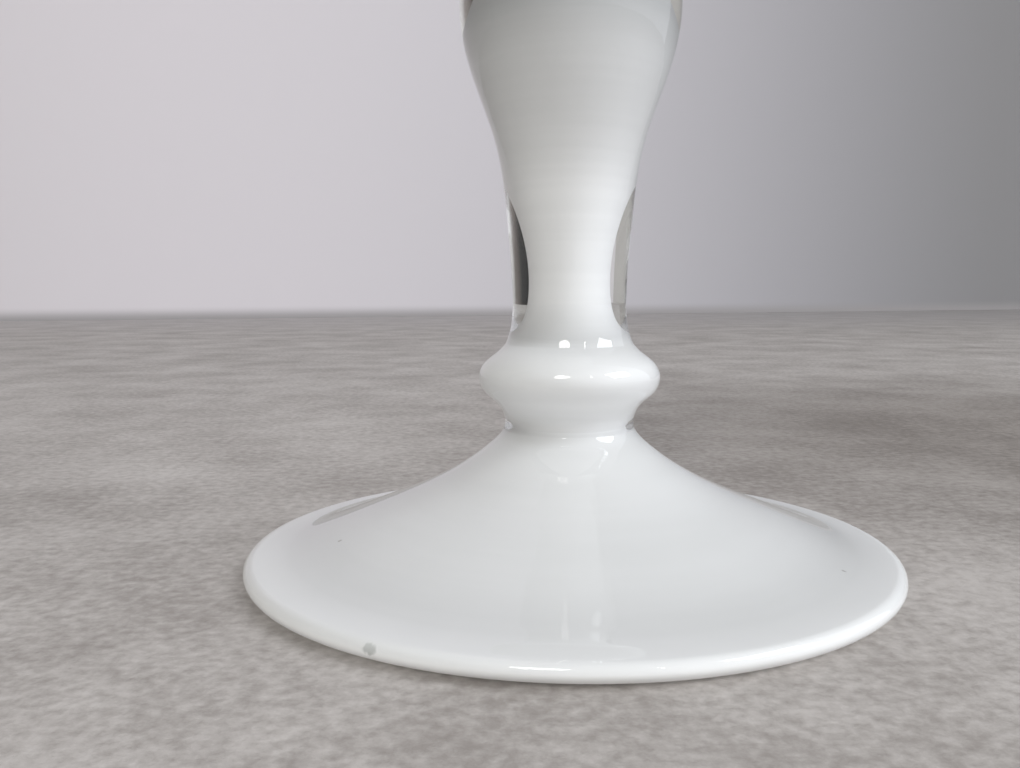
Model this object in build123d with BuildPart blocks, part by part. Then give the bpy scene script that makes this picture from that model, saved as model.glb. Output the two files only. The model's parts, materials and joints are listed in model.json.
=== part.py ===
# A glass candlestick of cased glass: white opal glass under clear glass, joined hot from six bits.
# Millimetres, +Z up. The origin is on the table, at the middle of the foot.
# Every piece is turned about Z, so its outline is drawn as (radius, height) and revolved.
import os

from build123d import *

os.makedirs("parts", exist_ok=True)

# Heights at which one bit of glass is joined to the next
foot_joint_z = 32.2
knop_joint_z = 52.0
stem_joint_z = 160.0
upper_knop_joint_z = 178.0
cup_joint_z = 191.5

# Foot: a wide blown dome, open underneath, standing on a ground ring
foot_r = 75.0
foot_roll_z = 3.0
foot_roll_r = 1.6
foot_roll_start = -72.5
foot_brow_r = 2.1
foot_lining_r = 73.9
foot_lining_roll_z = 3.0
foot_lining_roll_r = 1.2
foot_lining_roll_start = -62.6
foot_lining_brow_r = 1.5
brow_end = 84.0
brow_lean = (-0.9945, 0.1045)
foot_skin_edge_z = 0.25
ground_ring_inner_r = 66.0
ground_ring_outer_r = 70.0
foot_border = (66.5, 5.9)
foot_shoulder = (61.0, 7.6)
foot_slope = (46.6, 13.2)
foot_rise = (30.0, 20.8)
foot_throat = (18.2, 28.9)
foot_core_border = (66.5, 5.1)
foot_core_shoulder = (61.0, 6.2)
foot_core_slope = (46.6, 11.4)
foot_core_rise = (30.0, 18.4)
foot_core_throat = (14.6, 26.8)
foot_core_neck = (9.7, 29.4)
foot_dome_top_z = 19.0
foot_dome_rise = (30.0, 13.4)
foot_dome_slope = (46.6, 7.9)

# Necks: radii of the clear glass and of the opal core where the bits meet
neck_r = 15.4
neck_lean = (-0.45, 1)
neck_waist = (15.05, 34.0)
neck_core_r = 8.8
neck_core_top = (9.7, 35.2)
stem_foot_r = 14.9
stem_foot_core_r = 9.9
upper_neck_r = 12.6
upper_neck_core_r = 7.2
collar_r = 12.2
collar_core_r = 7.4

# Knops: the widest ring of each, and the flanks below and above it
knop_r = 21.1
knop_z = 44.9
knop_underside = (17.2, 38.6)
knop_lower_flank = (20.0, 41.2)
knop_upper_flank = (19.8, 47.6)
knop_top = (16.8, 50.1)
knop_core_r = 18.6
knop_core_underside = (14.2, 39.1)
knop_core_top = (14.2, 49.6)
upper_knop_r = 17.4
upper_knop_z = 169.0
upper_knop_core_r = 14.6
upper_knop_flank_z = 4.4
upper_knop_flank_r = 15.2
upper_knop_core_flank_r = 11.6

# Baluster stem: a slim waist that swells to a bulb
waist_r = 13.2
waist_z = 59.6
waist_end_z = 64.0
waist_top = (14.3, 79.6)
waist_core_r = 6.3
waist_core_z = 64.0
waist_core_top = (8.6, 84.0)
swell_r = 17.0
swell_z = 97.7
swell_core_r = 12.8
bulb_r = 24.9
bulb_z = 129.0
bulb_belly = (23.0, 115.4)
bulb_shoulder = (18.8, 145.5)
bulb_core_r = 17.6
bulb_core_z = 116.5
bulb_core_belly = (17.1, 123.5)
bulb_core_top = (14.8, 129.0)
bulb_core_shoulder = (9.4, 141.0)
upper_neck_waist = (13.2, 153.5)

# Drip pan: a shallow dish with a turned-up lip
pan_r = 38.5
pan_lip_z = 198.5
pan_lip_t = 3.6
pan_belly = (27.0, 186.4)
pan_core_belly = (26.0, 188.2)
pan_lip_inside = (34.9, 196.1)
pan_floor = (29.0, 192.3)
pan_seat_r = 21.0

# Candle cup: made for a 22 mm candle
candle_bore_r = 11.25
candle_bore_floor_z = 197.5
cup_waist_r = 13.6
cup_waist_core_r = 11.4
cup_belly = (17.6, 206.0)
cup_core_belly = (13.85, 206.0)
cup_mouth_r = 16.9
cup_lip_z = 223.0
cup_lip_t = 3.2
cup_mouth_round_r = 2.0

up = (0, 1)

# Shared outlines: a skin and its core are drawn from the same curve, so they meet face to face
with BuildLine() as foot_surface:
    roll = CenterArc(
        (foot_r - foot_roll_r, foot_roll_z),
        foot_roll_r,
        start_angle=foot_roll_start,
        arc_size=-foot_roll_start,
    )
    brow = CenterArc((foot_r - foot_brow_r, foot_roll_z), foot_brow_r, start_angle=0, arc_size=brow_end)
    Line((ground_ring_outer_r, foot_skin_edge_z), roll @ 0)
    Spline(
        brow @ 1,
        foot_border,
        foot_shoulder,
        foot_slope,
        foot_rise,
        foot_throat,
        (neck_r, foot_joint_z),
        tangents=[brow_lean, neck_lean],
    )

with BuildLine() as foot_core:
    lining_roll = CenterArc(
        (foot_lining_r - foot_lining_roll_r, foot_lining_roll_z),
        foot_lining_roll_r,
        start_angle=foot_lining_roll_start,
        arc_size=-foot_lining_roll_start,
    )
    lining_brow = CenterArc(
        (foot_lining_r - foot_lining_brow_r, foot_lining_roll_z),
        foot_lining_brow_r,
        start_angle=0,
        arc_size=brow_end,
    )
    Line((ground_ring_outer_r, foot_skin_edge_z), lining_roll @ 0)
    Spline(
        lining_brow @ 1,
        foot_core_border,
        foot_core_shoulder,
        foot_core_slope,
        foot_core_rise,
        foot_core_throat,
        foot_core_neck,
        (neck_core_r, foot_joint_z),
        tangents=[brow_lean, up],
    )

with BuildLine() as knop_surface:
    Spline(
        (neck_r, foot_joint_z),
        neck_waist,
        knop_underside,
        knop_lower_flank,
        (knop_r, knop_z),
        knop_upper_flank,
        knop_top,
        (stem_foot_r, knop_joint_z),
        tangents=[neck_lean, (-0.9, 1)],
    )

with BuildLine() as knop_core:
    Spline(
        (neck_core_r, foot_joint_z),
        neck_core_top,
        knop_core_underside,
        (knop_core_r, knop_z),
        knop_core_top,
        (stem_foot_core_r, knop_joint_z),
        tangents=[up, (-0.9, 1)],
    )

with BuildLine() as stem_surface:
    Spline(
        (stem_foot_r, knop_joint_z),
        (waist_r, waist_z),
        (waist_r, waist_end_z),
        waist_top,
        (swell_r, swell_z),
        bulb_belly,
        (bulb_r, bulb_z),
        bulb_shoulder,
        upper_neck_waist,
        (upper_neck_r, stem_joint_z),
        tangents=[(-0.5, 1), up],
    )

with BuildLine() as stem_core:
    Spline(
        (stem_foot_core_r, knop_joint_z),
        (waist_core_r, waist_core_z),
        waist_core_top,
        (swell_core_r, swell_z),
        (bulb_core_r, bulb_core_z),
        bulb_core_belly,
        bulb_core_top,
        bulb_core_shoulder,
        (upper_neck_core_r, stem_joint_z),
        tangents=[(-0.9, 1), up],
    )

with BuildLine() as upper_knop_surface:
    Spline(
        (upper_neck_r, stem_joint_z),
        (upper_knop_flank_r, upper_knop_z - upper_knop_flank_z),
        (upper_knop_r, upper_knop_z),
        (upper_knop_flank_r, upper_knop_z + upper_knop_flank_z),
        (collar_r, upper_knop_joint_z),
        tangents=[up, up],
    )

with BuildLine() as upper_knop_core:
    Spline(
        (upper_neck_core_r, stem_joint_z),
        (upper_knop_core_flank_r, upper_knop_z - upper_knop_flank_z),
        (upper_knop_core_r, upper_knop_z),
        (upper_knop_core_flank_r, upper_knop_z + upper_knop_flank_z),
        (collar_core_r, upper_knop_joint_z),
        tangents=[up, up],
    )

pan_lip_top = (pan_r - pan_lip_t / 2, pan_lip_z)
with BuildLine() as pan_surface:
    Spline(
        (collar_r, upper_knop_joint_z),
        pan_belly,
        (pan_r, pan_lip_z - pan_lip_t / 2),
        tangents=[up, up],
    )
    CenterArc((pan_r - pan_lip_t / 2, pan_lip_z - pan_lip_t / 2), pan_lip_t / 2, start_angle=0, arc_size=90)

with BuildLine() as pan_core:
    Spline(
        (collar_core_r, upper_knop_joint_z),
        pan_core_belly,
        pan_lip_top,
        tangents=[(0.3, 1), (0.2, 1)],
    )

cup_lip_top = (cup_mouth_r - cup_lip_t / 2, cup_lip_z)
candle_bore_top_z = cup_lip_z - cup_mouth_round_r
with BuildLine() as cup_surface:
    Spline(
        (cup_waist_r, cup_joint_z),
        cup_belly,
        (cup_mouth_r, cup_lip_z - cup_lip_t / 2),
        tangents=[(0.2, 1), up],
    )
    CenterArc(
        (cup_mouth_r - cup_lip_t / 2, cup_lip_z - cup_lip_t / 2),
        cup_lip_t / 2,
        start_angle=0,
        arc_size=90,
    )

with BuildLine() as cup_core:
    Spline(
        (cup_waist_core_r, cup_joint_z),
        cup_core_belly,
        cup_lip_top,
        tangents=[(0.2, 1), up],
    )

# Foot lining: opal dome with a ground ring to stand on, solid where it runs up into the neck
with BuildPart() as foot_opal:
    with BuildSketch(Plane.XZ):
        with BuildLine():
            add(foot_core.line)
            Polyline((neck_core_r, foot_joint_z), (0, foot_joint_z), (0, foot_dome_top_z))
            Spline(
                (0, foot_dome_top_z),
                foot_dome_rise,
                foot_dome_slope,
                (ground_ring_inner_r, 0),
                tangents=[(1, 0), (1, -0.6)],
            )
            Polyline(
                (ground_ring_inner_r, 0),
                (ground_ring_outer_r - foot_skin_edge_z, 0),
                (ground_ring_outer_r, foot_skin_edge_z),
            )
        make_face()
    revolve(axis=Axis.Z)
foot_opal.part.label = "foot_opal"
export_step(foot_opal.part, "parts/foot_opal.step")

# Foot skin: clear glass over the dome and round the rolled rim, its edge just above the table
with BuildPart() as foot_casing:
    with BuildSketch(Plane.XZ):
        with BuildLine():
            add(foot_surface.line)
            add(foot_core.line)
            Line((neck_core_r, foot_joint_z), (neck_r, foot_joint_z))
        make_face()
    revolve(axis=Axis.Z)
foot_casing.part.label = "foot_casing"
export_step(foot_casing.part, "parts/foot_casing.step")

# Lower knop core
with BuildPart() as knop_opal:
    with BuildSketch(Plane.XZ):
        with BuildLine():
            add(knop_core.line)
            Polyline(
                (stem_foot_core_r, knop_joint_z),
                (0, knop_joint_z),
                (0, foot_joint_z),
                (neck_core_r, foot_joint_z),
            )
        make_face()
    revolve(axis=Axis.Z)
knop_opal.part.label = "knop_opal"
export_step(knop_opal.part, "parts/knop_opal.step")

# Lower knop skin
with BuildPart() as knop_casing:
    with BuildSketch(Plane.XZ):
        with BuildLine():
            add(knop_core.line)
            add(knop_surface.line)
            Line((neck_core_r, foot_joint_z), (neck_r, foot_joint_z))
            Line((stem_foot_core_r, knop_joint_z), (stem_foot_r, knop_joint_z))
        make_face()
    revolve(axis=Axis.Z)
knop_casing.part.label = "knop_casing"
export_step(knop_casing.part, "parts/knop_casing.step")

# Baluster stem core
with BuildPart() as stem_opal:
    with BuildSketch(Plane.XZ):
        with BuildLine():
            add(stem_core.line)
            Polyline(
                (upper_neck_core_r, stem_joint_z),
                (0, stem_joint_z),
                (0, knop_joint_z),
                (stem_foot_core_r, knop_joint_z),
            )
        make_face()
    revolve(axis=Axis.Z)
stem_opal.part.label = "stem_opal"
export_step(stem_opal.part, "parts/stem_opal.step")

# Baluster stem casing: thick clear glass
with BuildPart() as stem_casing:
    with BuildSketch(Plane.XZ):
        with BuildLine():
            add(stem_core.line)
            add(stem_surface.line)
            Line((stem_foot_core_r, knop_joint_z), (stem_foot_r, knop_joint_z))
            Line((upper_neck_core_r, stem_joint_z), (upper_neck_r, stem_joint_z))
        make_face()
    revolve(axis=Axis.Z)
stem_casing.part.label = "stem_casing"
export_step(stem_casing.part, "parts/stem_casing.step")

# Upper knop core
with BuildPart() as upper_knop_opal:
    with BuildSketch(Plane.XZ):
        with BuildLine():
            add(upper_knop_core.line)
            Polyline(
                (collar_core_r, upper_knop_joint_z),
                (0, upper_knop_joint_z),
                (0, stem_joint_z),
                (upper_neck_core_r, stem_joint_z),
            )
        make_face()
    revolve(axis=Axis.Z)
upper_knop_opal.part.label = "upper_knop_opal"
export_step(upper_knop_opal.part, "parts/upper_knop_opal.step")

# Upper knop skin
with BuildPart() as upper_knop_casing:
    with BuildSketch(Plane.XZ):
        with BuildLine():
            add(upper_knop_core.line)
            add(upper_knop_surface.line)
            Line((upper_neck_core_r, stem_joint_z), (upper_neck_r, stem_joint_z))
            Line((collar_core_r, upper_knop_joint_z), (collar_r, upper_knop_joint_z))
        make_face()
    revolve(axis=Axis.Z)
upper_knop_casing.part.label = "upper_knop_casing"
export_step(upper_knop_casing.part, "parts/upper_knop_casing.step")

# Drip pan lining: the white top of the dish, with a flat seat for the candle cup
with BuildPart() as drip_pan_opal:
    with BuildSketch(Plane.XZ):
        with BuildLine():
            add(pan_core.line)
            Spline(
                pan_lip_top,
                pan_lip_inside,
                pan_floor,
                (pan_seat_r, cup_joint_z),
                tangents=[(-1, 0), (-1, 0)],
            )
            Polyline(
                (pan_seat_r, cup_joint_z),
                (0, cup_joint_z),
                (0, upper_knop_joint_z),
                (collar_core_r, upper_knop_joint_z),
            )
        make_face()
    revolve(axis=Axis.Z)
drip_pan_opal.part.label = "drip_pan_opal"
export_step(drip_pan_opal.part, "parts/drip_pan_opal.step")

# Drip pan skin: clear glass underneath, up to the lip
with BuildPart() as drip_pan_casing:
    with BuildSketch(Plane.XZ):
        with BuildLine():
            add(pan_core.line)
            add(pan_surface.line)
            Line((collar_core_r, upper_knop_joint_z), (collar_r, upper_knop_joint_z))
        make_face()
    revolve(axis=Axis.Z)
drip_pan_casing.part.label = "drip_pan_casing"
export_step(drip_pan_casing.part, "parts/drip_pan_casing.step")

# Candle cup lining: opal, with the blind bore that holds the candle
with BuildPart() as candle_cup_opal:
    with BuildSketch(Plane.XZ):
        with BuildLine():
            add(cup_core.line)
            Line(cup_lip_top, (candle_bore_r + cup_mouth_round_r, cup_lip_z))
            CenterArc(
                (candle_bore_r + cup_mouth_round_r, candle_bore_top_z),
                cup_mouth_round_r,
                start_angle=90,
                arc_size=90,
            )
            Polyline(
                (candle_bore_r, candle_bore_top_z),
                (candle_bore_r, candle_bore_floor_z),
                (0, candle_bore_floor_z),
                (0, cup_joint_z),
                (cup_waist_core_r, cup_joint_z),
            )
        make_face()
    revolve(axis=Axis.Z)
candle_cup_opal.part.label = "candle_cup_opal"
export_step(candle_cup_opal.part, "parts/candle_cup_opal.step")

# Candle cup skin: clear glass outside
with BuildPart() as candle_cup_casing:
    with BuildSketch(Plane.XZ):
        with BuildLine():
            add(cup_core.line)
            add(cup_surface.line)
            Line((cup_waist_core_r, cup_joint_z), (cup_waist_r, cup_joint_z))
        make_face()
    revolve(axis=Axis.Z)
candle_cup_casing.part.label = "candle_cup_casing"
export_step(candle_cup_casing.part, "parts/candle_cup_casing.step")
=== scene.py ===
# A candlestick of cased glass: white opal glass inside clear glass, joined hot from six bits.
# Lengths are in metres, and outlines are (radius, height) in millimetres above the table.
import json
from math import cos, pi, radians, sin

import bpy
import numpy
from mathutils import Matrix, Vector


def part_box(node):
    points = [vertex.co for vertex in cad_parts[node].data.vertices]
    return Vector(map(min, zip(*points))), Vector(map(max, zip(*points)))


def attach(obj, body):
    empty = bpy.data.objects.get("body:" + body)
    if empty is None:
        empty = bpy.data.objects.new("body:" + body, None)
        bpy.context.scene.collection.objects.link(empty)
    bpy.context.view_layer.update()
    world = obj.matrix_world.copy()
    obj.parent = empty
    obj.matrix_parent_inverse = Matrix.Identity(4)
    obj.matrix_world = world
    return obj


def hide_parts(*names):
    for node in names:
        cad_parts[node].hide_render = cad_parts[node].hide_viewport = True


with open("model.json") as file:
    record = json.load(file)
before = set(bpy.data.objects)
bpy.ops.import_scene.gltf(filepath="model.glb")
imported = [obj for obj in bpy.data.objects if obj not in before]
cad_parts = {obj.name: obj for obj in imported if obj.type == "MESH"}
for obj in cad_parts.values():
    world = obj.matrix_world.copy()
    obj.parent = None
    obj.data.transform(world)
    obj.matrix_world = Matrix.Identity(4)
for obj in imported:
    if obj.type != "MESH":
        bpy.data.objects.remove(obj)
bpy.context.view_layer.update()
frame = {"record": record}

# Camera: low and close to the foot, looking slightly down, so that the foot fills the lower half of view.
# Its place is given in foot radii from the middle of the foot, and its angles in degrees.
foot_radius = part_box("foot_casing")[1].x
camera_place = (-0.184, -2.953, 0.879)
camera_down = 6.02
camera_lean = 0.2
camera_turn = -0.01
camera = bpy.data.objects.new("camera", bpy.data.cameras.new("camera"))
camera.data.lens = 33.5
camera.data.clip_start = 0.01
camera.location = [length * foot_radius for length in camera_place]
camera.rotation_euler = (radians(90 - camera_down), radians(camera_lean), radians(camera_turn))
bpy.context.scene.collection.objects.link(camera)
bpy.context.scene.camera = camera
bpy.context.scene.view_settings.view_transform = "Standard"


# Stage: a pale matt floor of cast concrete and, well behind it, a plain paper backdrop, turned a little,
# with painted light that makes it lighter on the left and painted shade that darkens it to the right. Just
# above the floor the paper fades to the floor's colour.
class Wire:
    """One output of one material's nodes. Arithmetic on it adds Math nodes."""

    def __init__(self, tree, socket=None):
        self.tree = tree
        self.socket = socket

    def node(self, kind, settings, inputs, output=0):
        """Adds a node of any other type: its settings are set first, and then its sockets."""
        made = self.tree.nodes.new("ShaderNode" + kind)
        for name, value in settings.items():
            if name == "stops":
                ramp = made.color_ramp
                ramp.elements[-1].position, ramp.elements[-1].color = value[-1]
                ramp.elements[0].position, ramp.elements[0].color = value[0]
                for place, colour in value[1:-1]:
                    ramp.elements.new(place).color = colour
            else:
                setattr(made, name, value)
        for name, value in inputs.items():
            if isinstance(value, Wire):
                self.tree.links.new(value.socket, made.inputs[name])
            else:
                made.inputs[name].default_value = value
        return Wire(self.tree, made.outputs[output])

    def math(self, operation, first, second):
        return self.node("Math", {"operation": operation}, {0: first, 1: second})

    def __add__(self, other):
        return self.math("ADD", self, other)

    __radd__ = __add__

    def __sub__(self, other):
        return self.math("SUBTRACT", self, other)

    def __rsub__(self, other):
        return self.math("SUBTRACT", other, self)

    def __mul__(self, other):
        return self.math("MULTIPLY", self, other)

    __rmul__ = __mul__


def new_material(name):
    """An empty material, and a wire carrying the place on the object."""
    material = bpy.data.materials.new(name)
    material.use_nodes = True
    material.node_tree.nodes.clear()
    return material, Wire(material.node_tree).node("TexCoord", {}, {}, output="Object")


def finish_material(material, surface):
    """Sends a shader to the material's output."""
    output = material.node_tree.nodes.new("ShaderNodeOutputMaterial")
    material.node_tree.links.new(surface.socket, output.inputs["Surface"])
    return material


floor_size = 14.0
floor_fade_start = 0.9
floor_fade = 0.6
backdrop_distance = 1.8
backdrop_turn = 13.5
backdrop_fade_height = 0.025
concrete_dark = (0.28, 0.255, 0.235, 1)
concrete_pale = (0.53, 0.50, 0.475, 1)
concrete_far = (0.42, 0.40, 0.40, 1)
# Colour, middle and reach of a painted shadow on the floor, behind the candlestick on the right
painted_shadow_colour = (0.60, 0.58, 0.56, 1)
painted_shadow_middle = (0.21, 0.20, 0)
painted_shadow_reach = (0.03, 0.34)
grain_share = 0.45


def between(value, low, high):
    """Rises smoothly from 0 to 1 as the value goes from low to high."""
    inputs = {"Value": value, "From Min": low, "From Max": high}
    return value.node("MapRange", {"interpolation_type": "SMOOTHSTEP"}, inputs)


def blend_colour(factor, first, second, kind="MIX"):
    """Goes from the first colour to the second as the factor goes from 0 to 1."""
    settings = {"data_type": "RGBA", "blend_type": kind}
    return factor.node("Mix", settings, {0: factor, 6: first, 7: second}, output=2)


def distance_to(place, point):
    """How far each place is from one point."""
    return place.node("VectorMath", {"operation": "DISTANCE"}, {0: place, 1: point}, output="Value")


def along_axis(place, axis):
    """One coordinate of the place."""
    return place.node("SeparateXYZ", {}, {0: place}, output=axis)


bpy.ops.mesh.primitive_plane_add(size=floor_size, location=(0, 0, 0))
floor = bpy.context.object
floor.name = "floor"
material, place = new_material("pale concrete")
patches = place.node("TexNoise", {}, {"Vector": place, "Scale": 16.0, "Detail": 9.0, "Roughness": 0.68})
grain = place.node("TexNoise", {}, {"Vector": place, "Scale": 330.0, "Detail": 5.0, "Roughness": 0.6})
tone = between(patches * (1 - grain_share) + grain * grain_share, 0.33, 0.67)
floor_colour = blend_colour(
    between(along_axis(place, "Y"), floor_fade_start, backdrop_distance) * floor_fade,
    blend_colour(tone, concrete_dark, concrete_pale),
    concrete_far,
)
# Painted shadow: a soft darker patch on the floor behind on the right, where shade falls
painted_shadow = 1 - between(distance_to(place, painted_shadow_middle), *painted_shadow_reach)
floor_colour = blend_colour(painted_shadow, floor_colour, painted_shadow_colour, "MULTIPLY")
texture = place.node("Bump", {}, {"Height": grain, "Strength": 0.35, "Distance": 0.0008})
matt = place.node("BsdfPrincipled", {}, {"Base Color": floor_colour, "Roughness": 0.6, "Normal": texture})
floor.data.materials.append(finish_material(material, matt))

bpy.ops.mesh.primitive_plane_add(
    size=floor_size,
    location=(0, backdrop_distance, floor_size / 2),
    rotation=(radians(90), 0, radians(backdrop_turn)),
)
backdrop = bpy.context.object
backdrop.name = "backdrop"
material, place = new_material("backdrop paper")
across = along_axis(place, "X")
height = along_axis(place, "Y") + floor_size / 2
# Metres across the backdrop, and the paper's colour there, with painted light on the left and painted shade
# on the right
painted_light_stops = [
    (-2.32, (0.54, 0.52, 0.50, 1)),
    (-1.11, (0.80, 0.755, 0.775, 1)),
    (-0.45, (0.80, 0.76, 0.785, 1)),
    (0.16, (0.66, 0.64, 0.665, 1)),
    (0.68, (0.45, 0.44, 0.46, 1)),
    (1.17, (0.315, 0.31, 0.312, 1)),
    (4.0, (0.30, 0.29, 0.28, 1)),
]
paper_width = 8.0
paper = place.node(
    "ValToRGB",
    {"stops": [(x / paper_width + 0.5, colour) for x, colour in painted_light_stops]},
    {0: across * (1 / paper_width) + 0.5},
)
paper.socket.node.color_ramp.interpolation = "B_SPLINE"
paper = blend_colour(between(height, 0.0, backdrop_fade_height), concrete_far, paper)
matt = place.node("BsdfPrincipled", {}, {"Base Color": paper, "Roughness": 0.9})
backdrop.data.materials.append(finish_material(material, matt))


# Side cards: a pale one behind on the left and a dark one behind on the right, standing on the floor.
# They are seen only through the clear glass, which bends the view round to them.
# The dark one is painted shade: it stands for the shadowed corner of the room on the right.
card_height = 0.9


def side_card(name, x, y, turn, width, stops):
    """A card that stands upright, shaded from its left edge to its right by the stops."""
    bpy.ops.mesh.primitive_plane_add(
        size=1, location=(x, y, card_height / 2), rotation=(radians(90), 0, radians(turn))
    )
    card = bpy.context.object
    card.name = name
    card.scale = (width, card_height, 1)
    card.visible_camera = False
    card.visible_glossy = False
    card.visible_diffuse = False
    card.visible_shadow = False
    material, place = new_material(name)
    shade = place.node("ValToRGB", {"stops": stops}, {0: along_axis(place, "X") + 0.5})
    matt = place.node("BsdfPrincipled", {}, {"Base Color": shade, "Roughness": 0.9})
    card.data.materials.append(finish_material(material, matt))


side_card(
    "pale_card",
    x=-1.39,
    y=0.98,
    turn=50.4,
    width=1.35,
    stops=[
        (0.0, (0.40, 0.385, 0.36, 1)),
        (0.45, (0.56, 0.535, 0.505, 1)),
        (1.0, (0.50, 0.475, 0.45, 1)),
    ],
)
# Painted shade: a dark card for the shadowed corner of the room on the right, seen only through the glass
side_card(
    "dark_card",
    x=1.15,
    y=0.75,
    turn=-50,
    width=1.5,
    stops=[
        (0.0, (0.004, 0.004, 0.004, 1)),
        (0.30, (0.010, 0.009, 0.008, 1)),
        (0.44, (0.12, 0.098, 0.085, 1)),
        (0.60, (0.19, 0.16, 0.14, 1)),
        (0.72, (0.55, 0.54, 0.53, 1)),
        (1.0, (0.8, 0.79, 0.78, 1)),
    ],
)


# Light: a round lamp in front on the left, a narrow one in front on the right, and a window on the right.
# The glass shows their shapes. The room's own soft light comes mostly from the right and the front, and
# the glass reflects plain dim walls in its place.
def lamp(name, azimuth, elevation, distance, width, height, shape, watts, colour):
    """An area lamp that faces the knop. Azimuth 0 is in front, and grows to the right."""
    light = bpy.data.lights.new(name, "AREA")
    light.shape = shape
    light.size = width
    light.size_y = height
    light.energy = watts
    light.color = colour
    turn = radians(azimuth)
    rise = radians(elevation)
    aim = Vector((0, 0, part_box("knop_casing")[0].z))
    away = Vector((sin(turn) * cos(rise), -cos(turn) * cos(rise), sin(rise)))
    made = bpy.data.objects.new(name, light)
    made.location = aim + away * distance
    made.rotation_euler = away.to_track_quat("Z", "Y").to_euler()
    bpy.context.scene.collection.objects.link(made)


lamp(
    "round_lamp",
    azimuth=-13.5,
    elevation=42,
    distance=1.5,
    width=0.43,
    height=0.43,
    shape="DISK",
    watts=5.0,
    colour=(1.0, 0.985, 0.96),
)
lamp(
    "narrow_lamp",
    azimuth=29,
    elevation=40,
    distance=1.5,
    width=0.035,
    height=0.2,
    shape="RECTANGLE",
    watts=0.3,
    colour=(1.0, 0.99, 0.97),
)
lamp(
    "window",
    azimuth=72,
    elevation=37,
    distance=1.8,
    width=0.85,
    height=0.66,
    shape="RECTANGLE",
    watts=15,
    colour=(0.92, 0.955, 1.0),
)

from_right = 1.3
from_left = 0.5
from_front = 0.7
from_all_round = 0.03
wall_strength = 0.33
right_wall_strength = 0.7
right_wall_reach = (0.1, 0.95)
world = bpy.data.worlds.new("room")
world.use_nodes = True
world.node_tree.nodes.clear()
facing = Wire(world.node_tree).node("TexCoord", {}, {}, output="Generated")
rightward = along_axis(facing, "X")
backward = along_axis(facing, "Y")
room_light = (
    rightward.math("MAXIMUM", rightward, 0) * from_right
    + rightward.math("MAXIMUM", rightward * -1, 0) * from_left
    + backward.math("MAXIMUM", backward * -1, 0) * from_front
    + from_all_round
)
room_colour = blend_colour(between(rightward, -1, 1), (1.0, 1.0, 0.96, 1), (0.92, 0.94, 1.0, 1))
light = facing.node("Background", {}, {"Color": room_colour, "Strength": room_light})
wall_light = between(rightward, *right_wall_reach) * right_wall_strength + wall_strength
walls = facing.node("Background", {}, {"Color": (0.95, 0.97, 1.0, 1), "Strength": wall_light})
in_glass = facing.math(
    "MAXIMUM",
    facing.node("LightPath", {}, {}, output="Is Glossy Ray"),
    facing.node("LightPath", {}, {}, output="Is Transmission Ray"),
)
background = facing.node("MixShader", {}, {0: in_glass, 1: light, 2: walls})
output = world.node_tree.nodes.new("ShaderNodeOutputWorld")
world.node_tree.links.new(background.socket, output.inputs["Surface"])
bpy.context.scene.world = world

# Foot lining: white opal glass, blown as a dome and opened out wide, with a ground ring to stand on.
# It is bare and glossy underneath. Its top lies against the clear skin, and has no gloss of its own there.
millimetre = 0.001
neck_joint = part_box("foot_opal")[1].z / millimetre
neck_core = 8.8
brow_lean = (-0.9945, 0.1045)
foot_dome_top = 19.0
ground_ring = (66.0, 69.75)
skin_edge = (70.0, 0.25)
rim_height = 3.0
rim_brow_end = 84
lining_rim = 73.9
lining_rim_round = 1.2
lining_brow_round = 1.5


def curve(points, leaving, arriving, spacing=1.0):
    """A smooth line through points, in short steps, that leaves and arrives in the directions given."""
    p = numpy.array(points, float)
    gap = numpy.linalg.norm(numpy.diff(p, axis=0), axis=1)
    last = len(p) - 1
    sums = numpy.eye(len(p))
    slopes = numpy.zeros_like(p)
    slopes[0] = numpy.array(leaving) / numpy.linalg.norm(leaving)
    slopes[last] = numpy.array(arriving) / numpy.linalg.norm(arriving)
    for i in range(1, last):
        sums[i, i - 1 : i + 2] = 1 / gap[i - 1], 2 / gap[i - 1] + 2 / gap[i], 1 / gap[i]
        slopes[i] = 3 * (p[i] - p[i - 1]) / gap[i - 1] ** 2 + 3 * (p[i + 1] - p[i]) / gap[i] ** 2
    slopes = numpy.linalg.solve(sums, slopes)
    line = [tuple(p[0])]
    for i in range(last):
        steps = max(1, round(gap[i] / spacing))
        for t in (numpy.arange(steps) + 1) / steps:
            line.append(
                tuple(
                    (2 * t**3 - 3 * t**2 + 1) * p[i]
                    + (t**3 - 2 * t**2 + t) * gap[i] * slopes[i]
                    + (3 * t**2 - 2 * t**3) * p[i + 1]
                    + (t**3 - t**2) * gap[i] * slopes[i + 1]
                )
            )
    return line


def arc(centre, radius, start, end, steps=12):
    """Part of a circle, from one angle to another, in degrees up from level."""
    angles = [radians(start + (end - start) * i / steps) for i in range(steps + 1)]
    return [(centre[0] + radius * cos(a), centre[1] + radius * sin(a)) for a in angles]


weld_reach = 0.005 * millimetre
sharp_edge = 40


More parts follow.
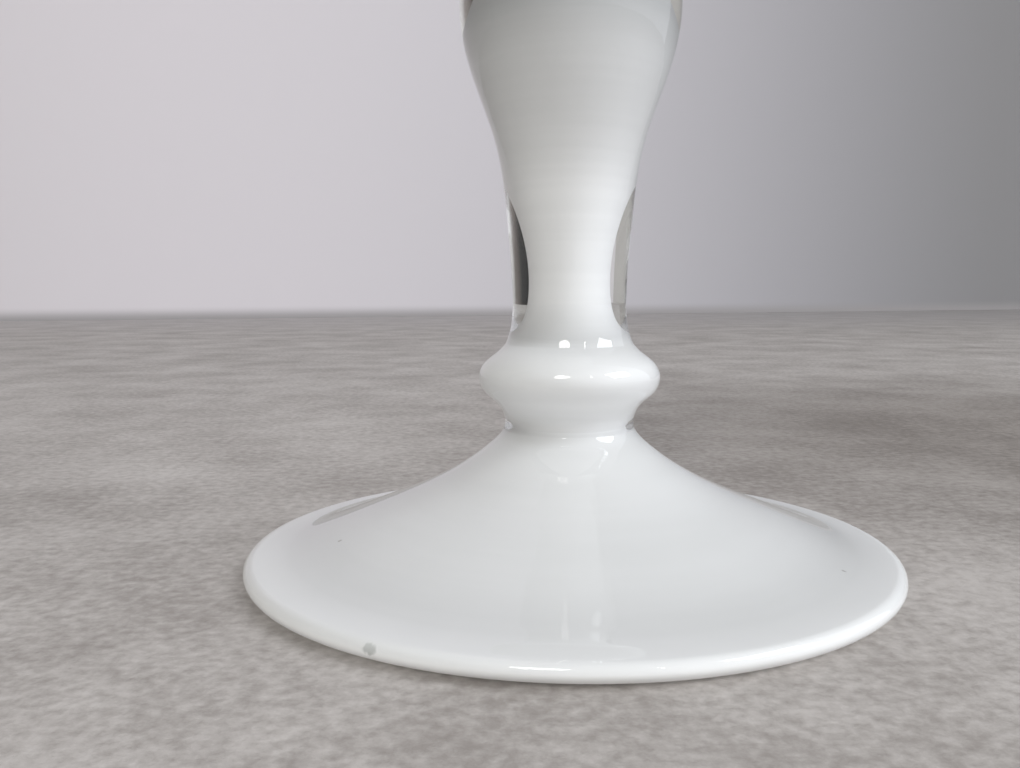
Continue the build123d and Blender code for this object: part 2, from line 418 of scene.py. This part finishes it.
def turned(name, line, around=160):
    """A closed body turned about the upright axis. A point is extruded along its outline, and then spun."""
    bpy.ops.object.select_all(action="DESELECT")
    bpy.ops.mesh.primitive_plane_add(size=millimetre)
    piece = bpy.context.object
    piece.name = name
    bpy.ops.object.mode_set(mode="EDIT")
    bpy.ops.mesh.merge(type="CENTER")
    here = (0, 0)
    for i, point in enumerate(line):
        step = ((point[0] - here[0]) * millimetre, 0, (point[1] - here[1]) * millimetre)
        if i == 0:
            bpy.ops.transform.translate(value=step)
        else:
            bpy.ops.mesh.extrude_vertices_move(TRANSFORM_OT_translate={"value": step})
        here = point
    bpy.ops.mesh.select_all(action="SELECT")
    bpy.ops.mesh.spin(steps=around, angle=2 * pi, center=(0, 0, 0), axis=(0, 0, 1))
    bpy.ops.mesh.select_all(action="SELECT")
    bpy.ops.mesh.remove_doubles(threshold=weld_reach)
    bpy.ops.mesh.normals_make_consistent(inside=False)
    bpy.ops.object.mode_set(mode="OBJECT")
    bpy.ops.object.shade_smooth_by_angle(angle=radians(sharp_edge))
    return piece


# Painted light and shade on the opal, by height in millimetres: how light the white is set where light and
# shade fall on it
opal_top = 230.0
painted_opal_shading = [
    (0, 1.0),
    (2.9, 1.0),
    (3.9, 0.77),
    (4.5, 0.71),
    (5.1, 0.63),
    (6.2, 0.605),
    (7.5, 0.62),
    (9, 0.645),
    (12, 0.66),
    (26, 0.68),
    (31, 0.62),
    (35, 0.83),
    (40, 0.93),
    (47, 0.75),
    (53, 0.55),
    (62, 0.80),
    (86, 0.86),
    (97, 0.73),
    (116, 0.57),
    (127, 0.36),
    (150, 0.60),
    (178, 0.75),
    (230, 0.80),
]
ring_scale = (14, 14, 380)
ring_strength = 0.28
ring_share = 0.65
wander_reach = 0.0006
thin_spot = (-0.0380, -0.0633, 0.0033)
thin_spot_squash = Vector((1, 1, 2))
thin_spot_reach = (0.0016, 0.0024)
thin_spot_colour = (0.60, 0.61, 0.60, 1)
specks = [(0.0549, -0.0301, 0.0058), (-0.0511, -0.0168, 0.0086)]
speck_reach = (0.0005, 0.0010)
speck_colour = (0.36, 0.35, 0.34, 1)


def opal_glass(name, bare):
    """White glass painted lighter and darker by height where light and shade fall on it, with faint rings
    from the turning.
    Only bare opal has gloss. At the rim there is one thin spot, and on the foot two dark specks."""
    material, place = new_material(name)
    height = along_axis(place, "Z") * (1 / (opal_top * millimetre))
    # Painted light and shade: the white's brightness by height, set where light and shade fall on the
    # candlestick
    stops = [(z / opal_top, (shade, shade, shade, 1)) for z, shade in painted_opal_shading]
    white_with_painted_shade = place.node("ValToRGB", {"stops": stops}, {0: height})
    ring_place = place.node("Mapping", {}, {"Vector": place, "Scale": ring_scale})
    rings = place.node("TexNoise", {}, {"Vector": ring_place, "Scale": 1, "Detail": 3, "Roughness": 0.6})
    clouds = place.node("TexNoise", {}, {"Vector": place, "Scale": 42.0, "Detail": 2.0})
    streaks = between(rings * ring_share + clouds * (1 - ring_share), 0.38, 0.66)
    colour = blend_colour(streaks * ring_strength, white_with_painted_shade, (0.90, 0.905, 0.90, 1), "MULTIPLY")
    wander = place.node("TexNoise", {}, {"Vector": place, "Scale": 1400.0, "Detail": 1.0}) * wander_reach
    squashed = place.node("VectorMath", {"operation": "MULTIPLY"}, {0: place, 1: thin_spot_squash})
    to_spot = distance_to(squashed, Vector(thin_spot) * thin_spot_squash) + wander * 2
    colour = blend_colour(1 - between(to_spot, *thin_spot_reach), colour, thin_spot_colour)
    for speck in specks:
        to_speck = distance_to(place, speck) + wander
        colour = blend_colour(1 - between(to_speck, *speck_reach), colour, speck_colour)
    shader = place.node(
        "BsdfPrincipled",
        {},
        {
            "Base Color": colour,
            "Roughness": 0.07 if bare else 0.6,
            "Specular IOR Level": 0.5 if bare else 0.0,
        },
    )
    return finish_material(material, shader)


opal_bare = opal_glass("bare opal glass", True)
opal_cased = opal_glass("opal glass under clear glass", False)


def opal_piece(name, node, line, is_bare):
    """A turned opal piece. is_bare says of a face's middle and normal whether it is open to the air."""
    piece = turned(name, line)
    piece.data.materials.append(opal_cased)
    piece.data.materials.append(opal_bare)
    for face in piece.data.polygons:
        face.material_index = 1 if is_bare(face.center / millimetre, face.normal) else 0
    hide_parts(node)
    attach(piece, "root")


lining_brow = arc((lining_rim - lining_brow_round, rim_height), lining_brow_round, 0, rim_brow_end)
foot_core_line = (
    [skin_edge]
    + arc((lining_rim - lining_rim_round, rim_height), lining_rim_round, -62.6, 0)
    + lining_brow[1:]
    + curve(
        [
            lining_brow[-1],
            (66.5, 5.1),
            (61.0, 6.2),
            (46.6, 11.4),
            (30.0, 18.4),
            (14.6, 26.8),
            (9.7, 29.4),
            (neck_core, neck_joint),
        ],
        leaving=brow_lean,
        arriving=(0, 1),
    )[1:]
)
foot_underside = curve(
    [(0, foot_dome_top), (30.0, 13.4), (46.6, 7.9), (ground_ring[0], 0)],
    leaving=(1, 0),
    arriving=(1, -0.6),
)


def underneath(middle, normal):
    """The foot's underside and its ground ring, inside the edge of the skin."""
    return normal.z < 0 and middle.z < foot_dome_top + 1 and middle.xy.length < ground_ring[1]


opal_piece(
    "foot_lining",
    "foot_opal",
    foot_underside + [(ground_ring[1], 0)] + foot_core_line + [(0, neck_joint)],
    underneath,
)

# Foot skin: clear glass over the lining, 1 to 2 mm thick, rolled round the rim to just above the table.
# It was gathered over the opal while hot, and it carries all the gloss.
sunk = 0.3
joint_reach = 0.01
flat = 0.99
neck_surface = 15.4
neck_lean = (-0.45, 1)
skin_rim = 75.0
skin_rim_round = 1.6
skin_brow_round = 2.1


def inner_face(line):
    """The inside of a skin: the core's outline, sunk a little into the core so that no gap shows."""
    p = numpy.array(line, float)
    along = numpy.gradient(p, axis=0)
    along /= numpy.linalg.norm(along, axis=1)[:, None]
    inward = numpy.stack([-along[:, 1], along[:, 0]], axis=1)
    sunk_line = p + sunk * inward
    sunk_line[0, 1] = p[0, 1]
    sunk_line[-1, 1] = p[-1, 1]
    return [tuple(point) for point in sunk_line[::-1]]


def clear_glass(name):
    """Polished clear glass with a trace of grey-green, and faint cords that ripple the view through it."""
    material, place = new_material(name)
    ring_place = place.node("Mapping", {}, {"Vector": place, "Scale": (1, 1, 7)})
    cords = place.node("TexNoise", {}, {"Vector": ring_place, "Scale": 30.0, "Detail": 2.0})
    ripple = place.node("Bump", {}, {"Height": cords, "Strength": 0.03, "Distance": 0.001})
    shader = place.node(
        "BsdfPrincipled",
        {},
        {
            "Base Color": (0.955, 0.972, 0.96, 1),
            "Roughness": 0.0,
            "IOR": 1.5,
            "Transmission Weight": 1.0,
            "Normal": ripple,
        },
    )
    return finish_material(material, shader)


clear = clear_glass("clear glass")
joined, place = new_material("joint fused away")
finish_material(joined, place.node("BsdfTransparent", {}, {}))


def clear_piece(name, node, outer, core, joints):
    """A turned clear skin. Its flat faces at the joints are fused to the next bit, so light passes them."""
    piece = turned(name, outer + inner_face(core) + outer[:1])
    piece.data.materials.append(clear)
    piece.data.materials.append(joined)
    for face in piece.data.polygons:
        at_joint = any(abs(face.center.z / millimetre - height) < joint_reach for height in joints)
        face.material_index = 1 if at_joint and abs(face.normal.z) > flat else 0
    piece.visible_diffuse = False
    piece.visible_shadow = False
    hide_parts(node)
    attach(piece, "root")


skin_brow = arc((skin_rim - skin_brow_round, rim_height), skin_brow_round, 0, rim_brow_end)
foot_skin_line = (
    [skin_edge]
    + arc((skin_rim - skin_rim_round, rim_height), skin_rim_round, -72.5, 0)
    + skin_brow[1:]
    + curve(
        [
            skin_brow[-1],
            (66.5, 5.9),
            (61.0, 7.6),
            (46.6, 13.2),
            (30.0, 20.8),
            (18.2, 28.9),
            (neck_surface, neck_joint),
        ],
        leaving=brow_lean,
        arriving=neck_lean,
    )[1:]
)
clear_piece("foot_skin", "foot_casing", foot_skin_line, foot_core_line, [neck_joint])

# Lower knop: a ring-shaped swelling under the stem, an opal core in a clear skin, joined hot to the foot.
# The core narrows sharply at the neck below, where clear glass shows at both sides.
knop_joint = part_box("knop_opal")[1].z / millimetre
stem_foot_core = 9.9
stem_foot_surface = 14.9
knop_spacing = 0.6


def nowhere(middle, normal):
    """A core that is covered all over is open to the air nowhere."""
    return False


knop_core_line = curve(
    [
        (neck_core, neck_joint),
        (9.7, 35.2),
        (14.2, 39.1),
        (18.6, 44.9),
        (14.2, 49.6),
        (stem_foot_core, knop_joint),
    ],
    leaving=(0, 1),
    arriving=(-0.9, 1),
    spacing=knop_spacing,
)
knop_skin_line = curve(
    [
        (neck_surface, neck_joint),
        (15.05, 34.0),
        (17.2, 38.6),
        (20.0, 41.2),
        (21.1, 44.9),
        (19.8, 47.6),
        (16.8, 50.1),
        (stem_foot_surface, knop_joint),
    ],
    leaving=neck_lean,
    arriving=(-0.9, 1),
    spacing=knop_spacing,
)
opal_piece(
    "knop_core",
    "knop_opal",
    [(0, neck_joint)] + knop_core_line + [(0, knop_joint)],
    nowhere,
)
clear_piece("knop_skin", "knop_casing", knop_skin_line, knop_core_line, [neck_joint, knop_joint])

# Baluster stem: an opal core drawn thin at the waist, in thick clear glass that swells to a bulb.
# At the waist the core takes up half the width, and the clear glass shows dark and bright beside it.
stem_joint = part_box("stem_opal")[1].z / millimetre
upper_neck_core = 7.2
upper_neck_surface = 12.6
stem_core_line = curve(
    [
        (stem_foot_core, knop_joint),
        (6.3, 64.0),
        (8.6, 84.0),
        (12.8, 97.7),
        (17.6, 116.5),
        (17.1, 123.5),
        (14.8, 129.0),
        (9.4, 141.0),
        (upper_neck_core, stem_joint),
    ],
    leaving=(-0.9, 1),
    arriving=(0, 1),
)
stem_skin_line = curve(
    [
        (stem_foot_surface, knop_joint),
        (13.2, 59.6),
        (13.2, 64.0),
        (14.3, 79.6),
        (17.0, 97.7),
        (23.0, 115.4),
        (24.9, 129.0),
        (18.8, 145.5),
        (13.2, 153.5),
        (upper_neck_surface, stem_joint),
    ],
    leaving=(-0.5, 1),
    arriving=(0, 1),
)
opal_piece(
    "stem_core",
    "stem_opal",
    [(0, knop_joint)] + stem_core_line + [(0, stem_joint)],
    nowhere,
)
clear_piece("stem_skin", "stem_casing", stem_skin_line, stem_core_line, [knop_joint, stem_joint])

# Upper knop: the lower knop's smaller twin, between the stem and the drip pan.
# It is an opal core in a clear skin too, and is joined hot at both ends.
collar_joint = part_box("upper_knop_opal")[1].z / millimetre
collar_core = 7.4
collar_surface = 12.2
upper_knop_core_line = curve(
    [
        (upper_neck_core, stem_joint),
        (11.6, 164.6),
        (14.6, 169.0),
        (11.6, 173.4),
        (collar_core, collar_joint),
    ],
    leaving=(0, 1),
    arriving=(0, 1),
    spacing=knop_spacing,
)
upper_knop_skin_line = curve(
    [
        (upper_neck_surface, stem_joint),
        (15.2, 164.6),
        (17.4, 169.0),
        (15.2, 173.4),
        (collar_surface, collar_joint),
    ],
    leaving=(0, 1),
    arriving=(0, 1),
    spacing=knop_spacing,
)
opal_piece(
    "upper_knop_core",
    "upper_knop_opal",
    [(0, stem_joint)] + upper_knop_core_line + [(0, collar_joint)],
    nowhere,
)
clear_piece(
    "upper_knop_skin",
    "upper_knop_casing",
    upper_knop_skin_line,
    upper_knop_core_line,
    [stem_joint, collar_joint],
)

# Drip pan: a shallow dish that catches wax, opened out like the foot but upwards.
# The opal lining is bare on top, and the clear glass is underneath and round the lip.
pan_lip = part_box("drip_pan_opal")[1].z / millimetre
cup_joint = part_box("candle_cup_opal")[0].z / millimetre
pan_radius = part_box("drip_pan_casing")[1].x / millimetre
pan_lip_thickness = 3.6
pan_lip_round = pan_lip_thickness / 2
pan_lip_middle = pan_radius - pan_lip_round
pan_lip_inside_drop = 2.4
pan_floor_rise = 0.8
pan_core_line = curve(
    [(collar_core, collar_joint), (26.0, 188.2), (pan_lip_middle, pan_lip)],
    leaving=(0.3, 1),
    arriving=(0.2, 1),
)
pan_skin_line = curve(
    [(collar_surface, collar_joint), (27.0, 186.4), (pan_radius, pan_lip - pan_lip_round)],
    leaving=(0, 1),
    arriving=(0, 1),
) + arc((pan_lip_middle, pan_lip - pan_lip_round), pan_lip_round, 0, 90)[1:]
pan_top_line = curve(
    [
        (pan_lip_middle, pan_lip),
        (pan_radius - pan_lip_thickness, pan_lip - pan_lip_inside_drop),
        (29.0, cup_joint + pan_floor_rise),
        (21.0, cup_joint),
    ],
    leaving=(-1, 0),
    arriving=(-1, 0),
)


def on_top(middle, normal):
    """The pan's floor, and the side of its lip that faces the cup."""
    return normal.z > 0.05 or (middle.z > cup_joint and normal.xy.dot(middle.xy) < 0)


opal_piece(
    "drip_pan_lining",
    "drip_pan_opal",
    [(0, collar_joint)] + pan_core_line + pan_top_line[1:] + [(0, cup_joint)],
    on_top,
)
clear_piece("drip_pan_skin", "drip_pan_casing", pan_skin_line, pan_core_line, [collar_joint])

# Candle cup: a small cased cup that holds the candle, its mouth rounded in the flame.
# The opal lining is bare inside the bore and over the lip.
cup_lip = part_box("candle_cup_opal")[1].z / millimetre
cup_mouth_round = 2.0
cup_lip_round = 1.6
bore = frame["record"]["mounts"][0]["dims"]
bore_top = cup_lip - cup_mouth_round
bore_floor = bore_top - bore["length_mm"]
cup_lip_middle = 15.3
cup_core_line = curve(
    [(11.4, cup_joint), (13.85, 206.0), (cup_lip_middle, cup_lip)], leaving=(0.2, 1), arriving=(0, 1)
)
cup_skin_line = curve(
    [(13.6, cup_joint), (17.6, 206.0), (16.9, cup_lip - cup_lip_round)], leaving=(0.2, 1), arriving=(0, 1)
) + arc((cup_lip_middle, cup_lip - cup_lip_round), cup_lip_round, 0, 90)[1:]
cup_inside = arc((bore["r_mm"] + cup_mouth_round, bore_top), cup_mouth_round, 90, 180) + [
    (bore["r_mm"], bore_floor),
    (0, bore_floor),
]


def in_mouth(middle, normal):
    """The cup's lip, and the wall and floor of its bore."""
    return normal.z > 0.3 or (middle.z > bore_floor and normal.xy.dot(middle.xy) < 0)


opal_piece(
    "candle_cup_lining",
    "candle_cup_opal",
    [(0, cup_joint)] + cup_core_line + cup_inside,
    in_mouth,
)
clear_piece("candle_cup_skin", "candle_cup_casing", cup_skin_line, cup_core_line, [cup_joint])
